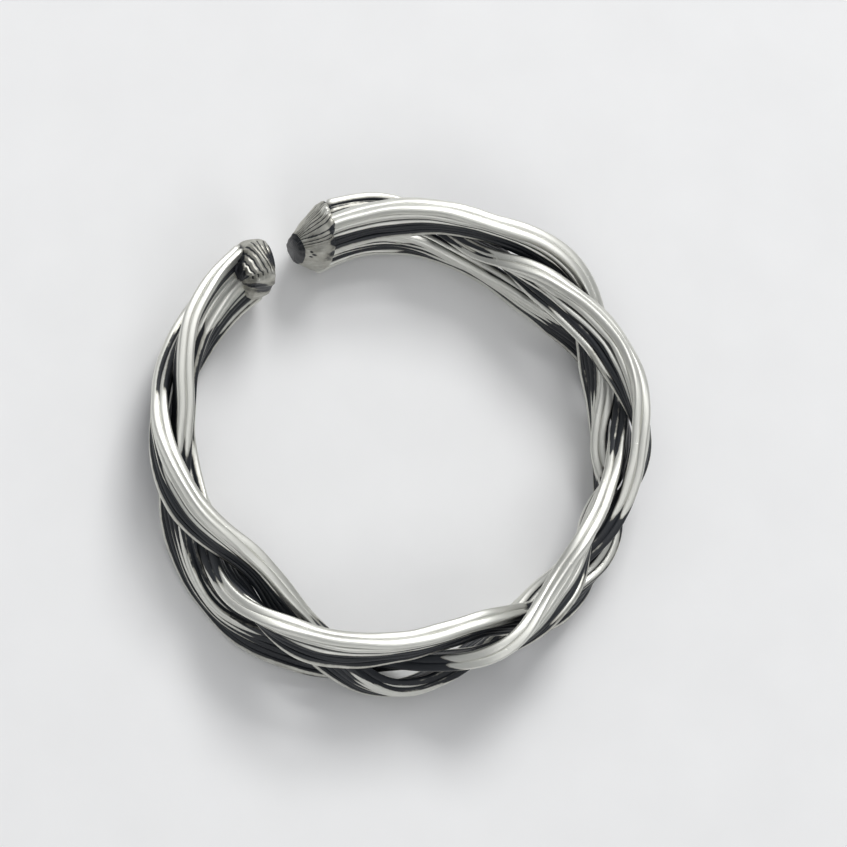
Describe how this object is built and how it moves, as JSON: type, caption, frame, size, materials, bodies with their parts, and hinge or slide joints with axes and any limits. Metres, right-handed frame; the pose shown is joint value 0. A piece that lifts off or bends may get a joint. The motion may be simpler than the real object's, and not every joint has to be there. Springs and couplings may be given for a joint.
{
  "type": "plaited wire twist ring",
  "caption": "Open adjustable finger ring, a flat plait of silver wire strands with blackened grooves and soldered tips.",
  "frame": {"origin": "on the axis of the finger hole, at the plane the ring rests on", "axes": "+Z along the finger hole, +X and +Y across it, with the gap between the ends at about 124 degrees from +X towards +Y"},
  "size_m": [0.023, 0.0232, 0.0052],
  "materials": {
    "silver": "polished on the crests of the wires, blackened in the grooves and hollows"
  },
  "bodies": {
    "root": {"strand_a": "silver", "strand_b": "silver", "strand_c": "silver", "tip_left": "silver", "tip_right": "silver"}
  },
  "joints": []
}
